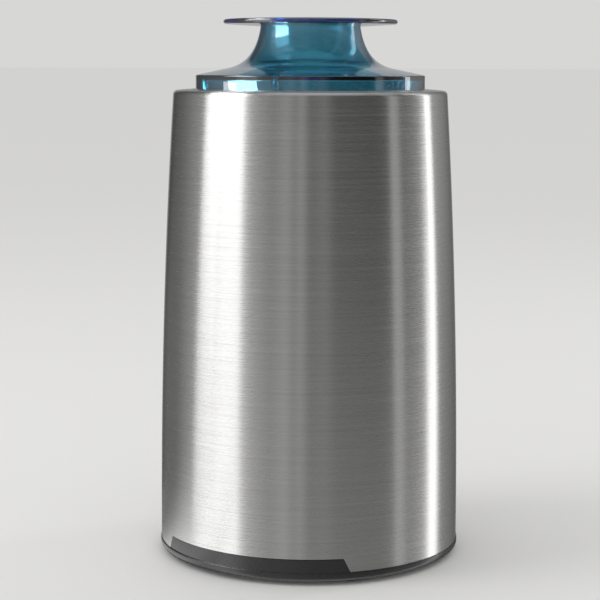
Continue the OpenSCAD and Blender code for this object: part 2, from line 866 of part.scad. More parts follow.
module cord_gland() {
    wall_in = sleeve_outer(sleeve_z) - sleeve_wall - 0.35 - collar_wall;
    outer = sleeve_r - 0.1;
    color([0.09, 0.09, 0.09])
        translate([0, 0, gland_z])
        rotate([-90, 0, 0])
            difference() {
                union() {
                    disc(gland_r, wall_in - 4, outer - 1);
                    disc(gland_r + gland_lip, wall_in - 4, wall_in - 0.6);
                    disc(gland_r + gland_lip, outer - 1.1, outer);
                }
                disc(cord_r, wall_in - 4 - over, outer + over);
            }
}

// ---------------------------------------------------------------- chassis

// The well, its flange and the frame that stands on the base
module chassis() {
    flange_r = sleeve_outer(top_z) - sleeve_wall - 1;
    hoop_z = (boss_top + well_z) / 2;
    color([0.3, 0.31, 0.33])
        difference() {
            union() {
                ring(well_out, well_r, well_z, top_z - sleeve_wall);
                ring(flange_r, well_out - snug, flange_z, top_z - sleeve_wall);
                disc(well_out, well_z, well_top);
                disc(spout_r + spout_wall, well_z, well_top + spout_h);
                // Gussets under the flange
                around(12, 15)
                    flange_gusset(flange_r);
                // Stops that hold the carrier down
                around(3, 90)
                    ring_part(well_r + snug, well_r - 1.2, -10, 10, carrier_top + seat_gap,
                        carrier_top + seat_gap + 1.8);
                // Pins that centre the springs
                around(spring_count)
                    translate([spring_ring, 0, 0])
                        disc(spring_r - spring_wire - 0.5, well_top - snug, well_top + 1.6);
                around(screw_count)
                    leg();
                ring(leg_out - 0.4, leg_out - 2.4, hoop_z, hoop_z + hoop_h);
                // Posts for the motor
                around(4)
                    translate([post_ring, 0, 0])
                        disc(post_r, bracket_top + damper_h, well_z + snug);
                rotate([0, 0, switch_angle])
                    translate([plate_r, -switch_l / 2, switch_z - 1])
                        cube([plate_t, switch_l, well_z + snug - switch_z + 1]);
            }
            under_deck(flange_r + over);
            disc(spout_r, well_z - over, well_top + spout_h + over);
            around(screw_count)
                translate([screw_ring, 0, 0])
                    disc(screw_r + snug, boss_top - over, boss_top + screw_grip + 4);
            around(4)
                translate([post_ring, 0, 0])
                    disc(1.5 + snug, bracket_top - over, well_z - 1);
            // Way for the carrier's finger
            rotate([0, 0, switch_angle])
            translate([switch_mid - finger_t / 2 - 0.5, finger_y - finger_w / 2 - 0.5, well_z - over])
                cube([finger_t + 1, finger_w + 1, well_floor + 2 * over]);
            rotate([0, 0, switch_angle])
            for (side = [-1, 1])
                translate([plate_r - over, side * switch_hole_y(), switch_hole_z()])
                rotate([0, 90, 0])
                    cylinder(r = 1.2 + snug, h = plate_t + 2 * over, $fn = 32);
        }
}

// The space that the sloping deck of the sleeve takes over the flange
module under_deck(reach) {
    low = top_z - sleeve_wall;
    rotate_extrude()
        polygon([[opening_r, low], [reach, low - (reach - opening_r) * deck_slope],
            [reach, low + over], [opening_r, low + over]]);
}

function switch_hole_y() = switch_l / 2 - 2.9;
function switch_hole_z() = switch_z + 3;

module flange_gusset(flange_r) {
    depth = 10;
    rotate([90, 0, 0])
    translate([0, 0, -0.9])
    linear_extrude(1.8)
        polygon([[well_out - 0.3, flange_z - depth], [well_out, flange_z - depth],
            [flange_r - 0.6, flange_z + snug], [well_out - 0.3, flange_z + snug]]);
}

// A ribbed leg with a screw boss at its foot
module leg() {
    boss_h = 18;
    translate([screw_ring, 0, 0])
        disc(leg_boss_r, boss_top, boss_top + boss_h);
    rotate([90, 0, 0])
    translate([0, 0, -leg_rib_t / 2])
    linear_extrude(leg_rib_t)
        polygon([[screw_ring - leg_boss_r + 1, boss_top + 12], [leg_out - 1, boss_top + 12],
            [leg_out - 1, well_z + snug], [plate_r, well_z + snug], [screw_ring - 3, well_z - 12]]);
    ring_part(leg_out, leg_out - 2, -9, 9, boss_top + 10, well_z + snug);
}

// ---------------------------------------------------------------- motor

module stator_core() {
    flat = stator_r - 1.5;
    color([0.45, 0.46, 0.48])
        difference() {
            intersection() {
                disc(stator_r, stack_z, stack_top);
                translate([-stator_r, -flat, stack_z])
                    cube([2 * stator_r, 2 * flat, stack_h]);
            }
            disc(stator_bore, stack_z - over, stack_top + over);
            // Windows for the coils, open to the bore between the pole shoes
            around(2)
                ring_part(slot_out, slot_in, -57, 57, stack_z - over, stack_top + over);
            around(2)
                ring_part(slot_in + 0.5, stator_bore - 2, -26, 26, stack_z - over, stack_top + over);
            around(4, 45)
                translate([tie_ring, 0, 0])
                    disc(tie_r + 0.2, stack_z - over, stack_top + over);
        }
}

// Two saddle coils, one round each pole
module field_coils() {
    coil_in = slot_in + 0.2;
    coil_out = slot_out - 0.2;
    color([0.72, 0.4, 0.18])
        around(2, 90)
        difference() {
            ring_part(coil_out, coil_in, -62, 62, winding_z, stack_top + overhang);
            ring_part(coil_out + over, coil_in - over, -36, 36, stack_z - 0.3, stack_top + 0.3);
        }
}

module bracket_legs(z0, z1) {
    around(4, 45)
        ring_part(stator_r, leg_in, -leg_spread, leg_spread, z0, z1);
}

module tie_holes(z0, z1) {
    around(4, 45)
        translate([tie_ring, 0, 0])
            disc(tie_r + snug, z0, z1);
}

module upper_bracket() {
    color([0.68, 0.69, 0.7])
        difference() {
            union() {
                disc(stator_r, bracket_z, bracket_top);
                disc(boss_r, upper_bearing_z, bracket_top);
                bracket_legs(stack_top, bracket_z + snug);
            }
            disc(bearing_seat, upper_bearing_z - over, upper_bearing_z + bearing_w);
            disc(bearing_r - 2, upper_bearing_z, bracket_top + over);
            around(4)
                translate([post_ring, 0, 0])
                    disc(1.7, bracket_z - over, bracket_top + over);
            around(4, 45)
                translate([boss_r + 3.5, 0, 0])
                    slot_hole(4, 4, bracket_z - over, bracket_top + over);
            tie_holes(stack_top - over, bracket_top + over);
        }
}

module lower_bracket() {
    deck = motor_end + 3;
    tower_top = brush_z + brush_h;
    color([0.16, 0.16, 0.17])
        difference() {
            union() {
                disc(boss_r, motor_end, lower_bearing_z + bearing_w);
                intersection() {
                    disc(stator_r, motor_end, deck);
                    union() {
                        cross(stator_r, 15, motor_end, deck);
                        rotate([0, 0, 45])
                            cross(stator_r, 9, motor_end, deck);
                    }
                }
                bracket_legs(motor_end, stack_z);
                // Towers that hold the brushes
                around(2)
                    translate([commutator_r + 3, -brush_w / 2 - 3, motor_end + snug])
                        cube([stator_r - commutator_r - 3.4, brush_w + 6, tower_top - motor_end]);
            }
            disc(bearing_seat, lower_bearing_z, lower_bearing_z + bearing_w + over);
            disc(bearing_r - 2, motor_end - over, lower_bearing_z + over);
            disc(commutator_r + 2.6, lower_bearing_z + bearing_w, tower_top + over);
            around(2)
                translate([commutator_r, 0, brush_z])
                    beam(stator_r, brush_w + 2.1, brush_h + 2.1);
            tie_holes(motor_end - over, stack_z + over);
        }
}

// A ball bearing: both races, the balls' cage between them and a shield on each side
module bearing(z) {
    color([0.75, 0.76, 0.78])
        rotate_extrude()
        polygon([[motor_shaft_r + running, z], [motor_shaft_r + 1.8, z], [motor_shaft_r + 1.9, z + 0.3],
            [bearing_r - 1.6, z + 0.3], [bearing_r - 1.5, z], [bearing_r, z], [bearing_r, z + bearing_w],
            [bearing_r - 1.5, z + bearing_w], [bearing_r - 1.6, z + bearing_w - 0.3],
            [motor_shaft_r + 1.9, z + bearing_w - 0.3], [motor_shaft_r + 1.8, z + bearing_w],
            [motor_shaft_r + running, z + bearing_w]]);
}

module upper_bearing() bearing(upper_bearing_z);

module lower_bearing() bearing(lower_bearing_z);

module motor_screws() {
    head_h = 2;
    color([0.55, 0.56, 0.58])
        around(4, 45)
            translate([tie_ring, 0, motor_end - head_h])
                screw(tie_r, 2.7, head_h, bracket_top - motor_end);
}

module mount_dampers() {
    color([0.1, 0.1, 0.1])
        around(4)
            translate([post_ring, 0, 0])
                ring(post_r, 1.6, bracket_top, bracket_top + damper_h);
}

module mount_screws() {
    head_h = 1.8;
    color([0.55, 0.56, 0.58])
        around(4)
            translate([post_ring, 0, bracket_z - head_h])
                screw(1.5, 2.9, head_h, well_z - 2 - bracket_z);
}

// ---------------------------------------------------------------- brushes

module brush_holders() {
    color([0.75, 0.6, 0.25])
        around(2)
        translate([commutator_r, 0, brush_z])
        difference() {
            translate([2, 0, 0])
                beam(stator_r - commutator_r - 2.4, brush_w + 2, brush_h + 2);
            beam(stator_r - commutator_r - 1, brush_w + 0.2, brush_h + 0.2);
        }
}

module carbon_brushes() {
    color([0.12, 0.12, 0.12])
        around(2)
        difference() {
            translate([commutator_r - 1, 0, brush_z])
                beam(brush_l, brush_w, brush_h);
            disc(commutator_r + seat_gap, brush_z - brush_h, brush_z + brush_h);
        }
}

module brush_springs() {
    near = commutator_r + brush_l - 0.9;
    far = stator_r - 1.5;
    color([0.7, 0.68, 0.5])
        around(2)
        translate([near, 0, brush_z])
        rotate([0, 90, 0])
            coil_spring(brush_w / 2 - 0.8, 0.3, 5, 0, far - near);
}

// ---------------------------------------------------------------- rotor

module armature_core() {
    color([0.5, 0.5, 0.52])
        difference() {
            disc(armature_r, stack_z, stack_top);
            disc(motor_shaft_r + snug, stack_z - over, stack_top + over);
            around(slot_count) {
                translate([armature_r - 3.6, 0, 0])
                    disc(2, stack_z - over, stack_top + over);
                translate([armature_r - 3, -0.7, stack_z - over])
                    cube([4, 1.4, stack_h + 2 * over]);
            }
        }
}

module armature_winding() {
    high = stack_top + overhang;
    r = armature_r - 1.6;
    color([0.72, 0.38, 0.16])
        difference() {
            union() {
                rotate_extrude()
                polygon([[motor_shaft_r + 1.5, stack_top], [r, stack_top], [r, high - 2.5],
                    [r - 2.5, high], [motor_shaft_r + 1.5, high]]);
                rotate_extrude()
                polygon([[motor_shaft_r + 1.5, winding_z], [r - 2.5, winding_z], [r, winding_z + 2.5],
                    [r, stack_z], [motor_shaft_r + 1.5, stack_z]]);
                around(slot_count)
                    translate([armature_r - 3.6, 0, 0])
                        disc(1.9, stack_z - snug, stack_top + snug);
            }
            disc(motor_shaft_r + snug, winding_z - over, high + over);
        }
}

module commutator() {
    bars = 2 * slot_count;
    color([0.78, 0.47, 0.25])
        difference() {
            union() {
                disc(commutator_r, commutator_z, commutator_top);
                disc(commutator_r + 1.4, commutator_top - 1.6, commutator_top);
            }
            disc(motor_shaft_r + snug, commutator_z - over, commutator_top + over);
            around(bars)
                translate([commutator_r - 0.6, -0.2, commutator_z - over])
                    cube([2.4, 0.4, commutator_h + 2 * over]);
        }
}

module motor_shaft() {
    color([0.7, 0.71, 0.73])
        disc(motor_shaft_r, motor_end + 1, socket_floor - 0.6);
}

module fan_vane() {
    sweep = fan_r * 0.62;
    rotate([0, 0, 20])
    translate([fan_r * 0.42, -sweep, 0])
        ring_part(sweep + 0.6, sweep - 0.6, 28, 98, 0, fan_h - 1.2);
}

module cooling_fan() {
    hub = motor_shaft_r + 3;
    color([0.86, 0.86, 0.84])
        translate([0, 0, fan_z])
        difference() {
            union() {
                disc(fan_r, 0, 1.2);
                disc(hub, 0, fan_h);
                intersection() {
                    translate([0, 0, 1.15])
                        around(fan_vanes)
                            fan_vane();
                    ring(fan_r, hub + 1.5, 0, fan_h);
                }
            }
            disc(motor_shaft_r + snug, -over, fan_h + over);
        }
}

module drive_coupling() {
    color([0.9, 0.9, 0.88])
        difference() {
            disc(socket_r, socket_z, socket_top);
            intersection() {
                cross(prong_r + 0.35, prong_w + 0.7, socket_floor, socket_top + over);
                disc(prong_r + 0.35, socket_floor, socket_top + over);
            }
            disc(prong_w + 0.35, socket_floor, socket_top + over);
            disc(motor_shaft_r + snug, socket_z - over, socket_floor + snug);
        }
}

// ---------------------------------------------------------------- switch

module micro_switch() {
    hole_r = 1.3;
    ear = [1.2, 2.8, 2];
    ear_gap = 0.3;
    terminal = [6, 0.8, 6];
    terminal_pitch = 9;
    color([0.12, 0.12, 0.13])
        rotate([0, 0, switch_angle])
        difference() {
            union() {
                translate([switch_r, -switch_l / 2, switch_z])
                    cube([switch_t, switch_l, switch_h]);
                // Ears that hold the lever's pivot
                for (x = [-lever_w / 2 - ear_gap - ear[0], lever_w / 2 + ear_gap])
                    translate([switch_mid + x, pivot_y - ear[1] / 2, switch_top - snug])
                        cube(ear);
                // Terminals
                for (i = [-1:1])
                    translate([switch_mid, i * terminal_pitch, switch_z + snug - terminal[2] / 2])
                        cube(terminal, center = true);
            }
            for (side = [-1, 1])
                translate([switch_r - over, side * switch_hole_y(), switch_hole_z()])
                rotate([0, 90, 0])
                    cylinder(r = hole_r, h = switch_t + 2 * over, $fn = 32);
            translate([switch_mid, button_y, switch_top - 2.6])
                cylinder(r = button_r + seat_gap, h = 3 + over, $fn = 32);
        }
}

module switch_screws() {
    color([0.55, 0.56, 0.58])
        rotate([0, 0, switch_angle])
        for (side = [-1, 1])
            translate([switch_r + switch_t + 1.6, side * switch_hole_y(), switch_hole_z()])
            rotate([0, -90, 0])
                screw(1.2, 2.2, 1.6, switch_t + plate_t);
}

// The lever leans up at rest, and the finger turns it down until it lies level
module switch_lever() {
    lean = asin(lever_drop / lever_reach);
    reach = lever_reach + 3.5;
    color([0.8, 0.8, 0.82])
        rotate([0, 0, switch_angle])
        translate([switch_mid, pivot_y, lever_pivot_z])
        rotate([-lean, 0, 0])
        union() {
            translate([-lever_w / 2, -reach, -lever_t / 2])
                cube([lever_w, reach, lever_t]);
            rotate([0, 90, 0])
            translate([0, 0, -lever_w / 2])
                cylinder(r = 0.6, h = lever_w, $fn = 32);
        }
}

module switch_button() {
    button_top = lever_pivot_z - lever_t + lever_drop * 8 / lever_reach - seat_gap;
    color([0.75, 0.2, 0.15])
        rotate([0, 0, switch_angle])
        translate([switch_mid, button_y, 0])
            disc(button_r, switch_top - 1.2, button_top);
}

lid_shell();
lid_seal();
grinding_cup();
cup_foot();
shaft_bush();
shaft_seal();
blade();
blade_shaft();
blade_spacer();
blade_nut();
shaft_clip();
cup_coupling();
press_carrier();
carrier_springs();
steel_sleeve();
chassis();
base();
feet();
base_screws();
cord_gland();
stator_core();
field_coils();
upper_bracket();
lower_bracket();
upper_bearing();
lower_bearing();
motor_screws();
mount_dampers();
mount_screws();
brush_holders();
carbon_brushes();
brush_springs();
armature_core();
armature_winding();
commutator();
motor_shaft();
cooling_fan();
drive_coupling();
micro_switch();
switch_screws();
switch_lever();
switch_button();
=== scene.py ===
import math

import bmesh
import bpy
from mathutils import Matrix, Vector


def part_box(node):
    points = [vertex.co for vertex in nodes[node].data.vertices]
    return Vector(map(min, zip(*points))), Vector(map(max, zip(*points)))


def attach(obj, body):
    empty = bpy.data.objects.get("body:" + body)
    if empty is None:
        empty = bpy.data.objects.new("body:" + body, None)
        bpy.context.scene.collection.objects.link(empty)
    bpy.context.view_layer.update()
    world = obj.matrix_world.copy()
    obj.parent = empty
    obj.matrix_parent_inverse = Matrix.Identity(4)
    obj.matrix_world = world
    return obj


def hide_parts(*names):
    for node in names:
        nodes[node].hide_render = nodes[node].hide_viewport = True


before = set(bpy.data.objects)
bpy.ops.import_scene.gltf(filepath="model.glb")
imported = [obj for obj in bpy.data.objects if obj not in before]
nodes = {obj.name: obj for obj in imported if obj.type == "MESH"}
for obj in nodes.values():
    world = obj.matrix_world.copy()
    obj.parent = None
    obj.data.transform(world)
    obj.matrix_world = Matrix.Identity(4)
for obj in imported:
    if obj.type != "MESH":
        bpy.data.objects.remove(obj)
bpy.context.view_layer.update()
MM = 0.001

# An electric spice grinder: a brushed steel sleeve on a dark base, and a clear lid that is pressed
# to run it. The sleeve's sheet, the lid, the cup and the seal are made again here with finer
# surfaces. Every other node shows its own solids with a finish.


def reach(node):
    """Outer radius, lowest and highest point of a round CAD node, to a tenth of a millimetre."""
    low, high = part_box(node)
    return [round(value / MM, 1) for value in (high.x, low.z, high.z)]


# Sizes are in millimetres. R is a radius, and Z is a height above the table.
SLEEVE_R, SLEEVE_FOOT_Z, SLEEVE_TOP_Z = reach("steel_sleeve")
SLEEVE_TAPER = 5.3
SHEET = 0.8
SHOULDER = 1.6
DECK_W = 7.3
DECK_FALL = 0.5
OPENING_R = SLEEVE_R - SLEEVE_TAPER - DECK_W
OPENING_LIP = 0.5
FRONT_NOTCH_HALF = 33.5
FRONT_NOTCH_FLARE = 1.8
FRONT_NOTCH_H = 4.8
REAR_NOTCH_HALF = 11.0
REAR_NOTCH_H = 14.2
REAR_NOTCH_CORNER = 3.0

LID_R, LID_SKIRT_Z, LID_TOP_Z = reach("lid_shell")
LID_WALL = 1.6
LID_IN = LID_R - LID_WALL
LID_RIM_RISE = 4.8
LID_RIM_Z = SLEEVE_TOP_Z + LID_RIM_RISE
LID_RIM_EDGE = 0.45
LID_SKIRT_EDGE = 0.5
LID_SLOPE = 0.21
LID_ROOF = 1.2 * LID_WALL
LID_CEILING_Z = LID_TOP_Z - LID_ROOF
LID_CEILING_EDGE = 1.0
FLARE_R = 29.4
NECK_R = 17.8
NECK_LEAN = 0.14
DISC_R = 31.0
DISC_THICK = 3.1
DISC_UNDER_Z = LID_TOP_Z - DISC_THICK
DISC_FALL = 0.7
DISC_EDGE = 0.85
RIB_COUNT = 5
RIB_TURN = -82
RIB_THICK = 1.4
RIB_DEEP = 2.3
RIB_ROOT = 0.4
RIB_HEAD = 0.5
RIB_EDGE = 0.15

CUP_RIM_R, CUP_UNDER_Z, CUP_TOP_Z = reach("grinding_cup")
CUP_WALL = 0.8
CUP_CURL = 0.95
CUP_CORNER = 5.0
CUP_HOLE_R = 6.95
CUP_R = CUP_RIM_R - 2 * CUP_CURL
CUP_FLOOR_Z = CUP_UNDER_Z + CUP_WALL

SEAL_R, SEAL_Z, SEAL_TOP_Z = reach("lid_seal")
SEAL_EDGE = 0.35
SEAL_GAP = 0.1
SEAL_IN = CUP_R + SEAL_GAP

# Edges of the CAD nodes that turn by more degrees than this stay crisp
CRISP_ANGLE = 28


# ------------------------------------------------------------------ mesh tools


def arc(radius, centre, start, end, steps):
    """Points of an arc in the section, from one angle to another in degrees."""
    angles = [math.radians(start + (end - start) * i / steps) for i in range(steps + 1)]
    return [(centre[0] + radius * math.cos(a), centre[1] + radius * math.sin(a)) for a in angles]


def turned(section, steps, closed=True):
    """A section of (radius, height) points turned round the upright axis."""
    bm = bmesh.new()
    corners = [bm.verts.new((r * MM, 0, z * MM)) for r, z in section]
    pairs = list(zip(corners, corners[1:]))
    if closed:
        pairs.append((corners[-1], corners[0]))
    edges = [bm.edges.new(pair) for pair in pairs]
    bmesh.ops.spin(
        bm,
        geom=corners + edges,
        cent=(0, 0, 0),
        axis=(0, 0, 1),
        angle=math.tau,
        steps=steps,
        use_merge=True,
    )
    bmesh.ops.remove_doubles(bm, verts=bm.verts, dist=0.002 * MM)
    bmesh.ops.recalc_face_normals(bm, faces=bm.faces)
    return bm


def made(bm, name, crease=32):
    """Turns finished mesh work into an object, smooth but for edges sharper than crease degrees."""
    for face in bm.faces:
        face.smooth = True
    for edge in bm.edges:
        if len(edge.link_faces) == 2 and edge.calc_face_angle(0) > math.radians(crease):
            edge.smooth = False
    mesh = bpy.data.meshes.new(name)
    bm.to_mesh(mesh)
    bm.free()
    piece = bpy.data.objects.new(name, mesh)
    bpy.context.scene.collection.objects.link(piece)
    return piece


def fit(piece, body, material, stands_for):
    """Puts a piece on its body, with its finish, in the place of a CAD node."""
    piece.data.materials.clear()
    piece.data.materials.append(material)
    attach(piece, body)
    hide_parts(stands_for)


# ------------------------------------------------------------------ material tools


def scaled(colour, factor):
    """The same colour, darker or lighter."""
    return tuple(part * factor for part in colour)


class Finish:
    """A material with short calls for its noise, its two colours and its relief."""

    def __init__(self, name, colour, roughness, metallic=0.0, **sockets):
        self.material = bpy.data.materials.new(name)
        self.material.use_nodes = True
        self.tree = self.material.node_tree
        self.shader = self.tree.nodes["Principled BSDF"]
        self.shader.inputs["Base Color"].default_value = (*colour, 1)
        self.shader.inputs["Roughness"].default_value = roughness
        self.shader.inputs["Metallic"].default_value = metallic
        for socket, value in sockets.items():
            self.shader.inputs[socket.replace("_", " ")].default_value = value
        self.place = self.node("ShaderNodeTexCoord").outputs["Object"]
        self.normal = None

    def node(self, kind, **settings):
        node = self.tree.nodes.new(kind)
        for setting, value in settings.items():
            setattr(node, setting, value)
        return node

    def link(self, source, target):
        self.tree.links.new(source, target)

    def grain(self, scale, detail=3.0, rough=0.5, stretch=(1, 1, 1)):
        """Noise with a scale in features per metre, times the stretch along each axis."""
        mapping = self.node("ShaderNodeMapping")
        mapping.inputs["Scale"].default_value = stretch
        self.link(self.place, mapping.inputs["Vector"])
        texture = self.node("ShaderNodeTexNoise")
        texture.inputs["Scale"].default_value = scale
        texture.inputs["Detail"].default_value = detail
        texture.inputs["Roughness"].default_value = rough
        self.link(mapping.outputs["Vector"], texture.inputs["Vector"])
        return texture.outputs["Fac"]

    def stripes(self, scale, distortion, **settings):
        """Even bands or rings. A scale of 640 gives one every half millimetre."""
        wave = self.node("ShaderNodeTexWave", wave_profile="SIN", **settings)
        wave.inputs["Scale"].default_value = scale
        wave.inputs["Distortion"].default_value = distortion
        wave.inputs["Detail"].default_value = 2
        self.link(self.place, wave.inputs["Vector"])
        return wave.outputs["Fac"]

    def spread(self, source, low, high, start=0.3, end=0.7):
        """Maps the noise from start to end onto low to high."""
        remap = self.node("ShaderNodeMapRange")
        remap.inputs["From Min"].default_value = start
        remap.inputs["From Max"].default_value = end
        remap.inputs["To Min"].default_value = low
        remap.inputs["To Max"].default_value = high
        self.link(source, remap.inputs["Value"])
        return remap.outputs["Result"]

    def shade(self, source, dark, light):
        """Lets the noise run between two colours."""
        mix = self.node("ShaderNodeMix", data_type="RGBA")
        mix.inputs["A"].default_value = (*dark, 1)
        mix.inputs["B"].default_value = (*light, 1)
        self.link(source, mix.inputs["Factor"])
        return mix.outputs["Result"]

    def add(self, a, b):
        """The sum of two noises."""
        total = self.node("ShaderNodeMath", operation="ADD")
        self.link(a, total.inputs[0])
        self.link(b, total.inputs[1])
        return total.outputs[0]

    def share(self, source, factor):
        """A noise times a factor."""
        product = self.node("ShaderNodeMath", operation="MULTIPLY")
        product.inputs[1].default_value = factor
        self.link(source, product.inputs[0])
        return product.outputs[0]

    def dent(self, height, strength, depth):
        """Adds relief of a depth in millimetres."""
        bump = self.node("ShaderNodeBump")
        bump.inputs["Strength"].default_value = strength
        bump.inputs["Distance"].default_value = depth * MM
        self.link(height, bump.inputs["Height"])
        if self.normal:
            self.link(self.normal, bump.inputs["Normal"])
        self.normal = bump.outputs["Normal"]
        self.link(self.normal, self.shader.inputs["Normal"])

    def soften(self, radius):
        """Rounds the edges for the light, by a radius in millimetres. It comes before any dent."""
        bevel = self.node("ShaderNodeBevel", samples=6)
        bevel.inputs["Radius"].default_value = radius * MM
        self.normal = bevel.outputs["Normal"]
        self.link(self.normal, self.shader.inputs["Normal"])

    def colour(self, source):
        self.link(source, self.shader.inputs["Base Color"])

    def roughness(self, source):
        self.link(source, self.shader.inputs["Roughness"])


def brushed_round(finish):
    """Turns the brushing round the upright axis, so that its shine spreads up and down."""
    cross = finish.node("ShaderNodeVectorMath", operation="CROSS_PRODUCT")
    cross.inputs[0].default_value = (0, 0, 1)
    finish.link(finish.place, cross.inputs[1])
    unit = finish.node("ShaderNodeVectorMath", operation="NORMALIZE")
    finish.link(cross.outputs[0], unit.inputs[0])
    finish.link(unit.outputs[0], finish.shader.inputs["Tangent"])
    finish.shader.inputs["Anisotropic Rotation"].default_value = 0.25


# ------------------------------------------------------------------ finishes


def brushed_sleeve_steel():
    """Sheet steel with fine level brushing and finer scratches in it."""
    steel = Finish("brushed sleeve steel", (0.62, 0.615, 0.605), 0.27, 1.0, Anisotropic=1.0)
    brushed_round(steel)
    steel.soften(0.15)
    lines = steel.grain(1.0, detail=4.0, rough=0.6, stretch=(20, 20, 1600))
    scratches = steel.grain(1.0, detail=2.0, stretch=(45, 45, 5200))
    both = steel.add(steel.share(lines, 0.6), steel.share(scratches, 0.4))
    tone = steel.spread(both, 0.0, 1.0, start=0.38, end=0.62)
    steel.colour(steel.shade(tone, (0.575, 0.57, 0.562), (0.665, 0.66, 0.65)))
    steel.roughness(steel.spread(both, 0.255, 0.285, start=0.38, end=0.62))
    steel.dent(scratches, 0.04, 0.01)
    return steel.material


def drawn_cup_steel():
    """Drawn and turned steel with faint rings."""
    steel = Finish("drawn cup steel", (0.64, 0.64, 0.635), 0.3, 1.0, Anisotropic=0.7)
    brushed_round(steel)
    rings = steel.grain(1.0, rough=0.55, stretch=(60, 60, 1700))
    steel.roughness(steel.spread(rings, 0.24, 0.36))
    steel.colour(steel.shade(steel.spread(rings, 0, 1), (0.58, 0.58, 0.575), (0.68, 0.68, 0.675)))
    steel.dent(rings, 0.1, 0.02)
    return steel.material


def ground_blade_steel():
    """Steel with the short cuts of a grinding wheel."""
    steel = Finish("ground blade steel", (0.66, 0.66, 0.66), 0.26, 1.0)
    steel.soften(0.15)
    cuts = steel.grain(1.0, detail=4.0, rough=0.6, stretch=(3200, 160, 400))
    steel.roughness(steel.spread(cuts, 0.18, 0.34))
    steel.dent(cuts, 0.2, 0.03)
    return steel.material


def clear_blue_plastic():
    """Glossy clear plastic, tinted at its surface and through its thickness."""
    clear = Finish(
        "clear blue plastic",
        (0.6, 0.73, 0.75),
        0.03,
        Transmission_Weight=1.0,
        IOR=1.56,
        Specular_Tint=(0.86, 0.84, 1.0, 1),
        Coat_Weight=1.0,
        Coat_IOR=2.0,
        Coat_Roughness=0.02,
    )
    faint = clear.grain(60, detail=2.0)
    clear.roughness(clear.spread(faint, 0.015, 0.04))
    clear.dent(faint, 0.04, 0.1)
    absorb = clear.node("ShaderNodeVolumeAbsorption")
    absorb.inputs["Color"].default_value = (0.11, 0.8, 0.96, 1)
    absorb.inputs["Density"].default_value = 560
    clear.link(absorb.outputs["Volume"], clear.tree.nodes["Material Output"].inputs["Volume"])
    return clear.material


def moulded_plastic(name, colour, roughness, shine=0.5):
    """Plastic with the fine spark-eroded grain of its mould."""
    plastic = Finish(name, colour, roughness, Specular_IOR_Level=shine)
    plastic.soften(0.25)
    sparkle = plastic.grain(1980, detail=2.0, rough=0.6)
    cloud = plastic.grain(45)
    both = plastic.add(sparkle, cloud)
    plastic.roughness(plastic.spread(both, roughness - 0.06, roughness + 0.08, start=0.8, end=1.2))
    tone = plastic.spread(cloud, 0, 1)
    plastic.colour(plastic.shade(tone, scaled(colour, 0.86), scaled(colour, 1.16)))
    plastic.dent(sparkle, 0.35, 0.03)
    return plastic.material


def rubber(name, colour):
    """Dull rubber with a little dust on it."""
    soft = Finish(name, colour, 0.72, Specular_IOR_Level=0.35)
    soft.soften(0.25)
    skin = soft.grain(2600, detail=2.0)
    dust = soft.grain(120, detail=4.0, rough=0.65)
    dusty = tuple(part * 1.7 + 0.01 for part in colour)
    soft.colour(soft.shade(soft.spread(dust, 0, 1, start=0.45, end=0.75), colour, dusty))
    soft.dent(skin, 0.3, 0.04)
    return soft.material


def seal_silicone():
    """Milky silicone that lets some light in."""
    silicone = Finish(
        "seal silicone", (0.62, 0.66, 0.68), 0.42, Subsurface_Weight=0.25, Subsurface_Scale=0.002
    )
    skin = silicone.grain(1400, detail=2.0)
    silicone.roughness(silicone.spread(skin, 0.36, 0.5))
    silicone.dent(skin, 0.15, 0.03)
    return silicone.material


def plated(name, colour, roughness):
    """Turned or stamped metal with fine tool marks and a few duller spots."""
    metal = Finish(name, colour, roughness, 1.0)
    metal.soften(0.12)
    marks = metal.grain(1.0, rough=0.6, stretch=(500, 500, 2400))
    spots = metal.grain(160, detail=4.0, rough=0.6)
    both = metal.add(marks, spots)
    metal.roughness(metal.spread(both, roughness - 0.08, roughness + 0.14, start=0.75, end=1.25))
    tone = metal.spread(spots, 0, 1, start=0.35, end=0.75)
    metal.colour(metal.shade(tone, scaled(colour, 0.8), colour))
    metal.dent(marks, 0.15, 0.02)
    return metal.material


def cast_metal():
    """Cast aluminium with a sandy skin."""
    cast = Finish("cast aluminium", (0.58, 0.585, 0.59), 0.48, 1.0)
    cast.soften(0.3)
    skin = cast.grain(900, detail=4.0, rough=0.65)
    cast.roughness(cast.spread(skin, 0.38, 0.6))
    cast.dent(skin, 0.5, 0.08)
    return cast.material


def stacked_sheets():
    """Half-millimetre sheets with a dark line of varnish between them."""
    sheets = Finish("stacked sheets", (0.3, 0.31, 0.33), 0.45, 1.0)
    lines = sheets.stripes(640, 0.1, wave_type="BANDS", bands_direction="Z")
    sheets.colour(sheets.shade(lines, (0.12, 0.12, 0.13), (0.4, 0.41, 0.43)))
    sheets.dent(lines, 0.5, 0.06)
    return sheets.material


def wound_copper():
    """Enamelled wire, laid side by side, with painted shade in the grooves between the strands."""
    colour = (0.62, 0.25, 0.09)
    copper = Finish("wound copper", colour, 0.28, 0.85, Coat_Weight=0.6, Coat_Roughness=0.15)
    strands = copper.stripes(700, 1.2, wave_type="RINGS", rings_direction="Z")
    # The copper is painted darker in the grooves between the strands: painted shade.
    copper.colour(copper.shade(strands, (0.3, 0.1, 0.035), (0.72, 0.32, 0.12)))
    copper.dent(strands, 0.7, 0.12)
    return copper.material


def pressed_carbon():
    """Dull black carbon with a powdery skin."""
    carbon = Finish("pressed carbon", (0.035, 0.035, 0.037), 0.55, 0.2)
    dust = carbon.grain(3000, detail=4.0, rough=0.7)
    carbon.roughness(carbon.spread(dust, 0.4, 0.7))
    carbon.dent(dust, 0.3, 0.04)
    return carbon.material


# ------------------------------------------------------------------ pieces


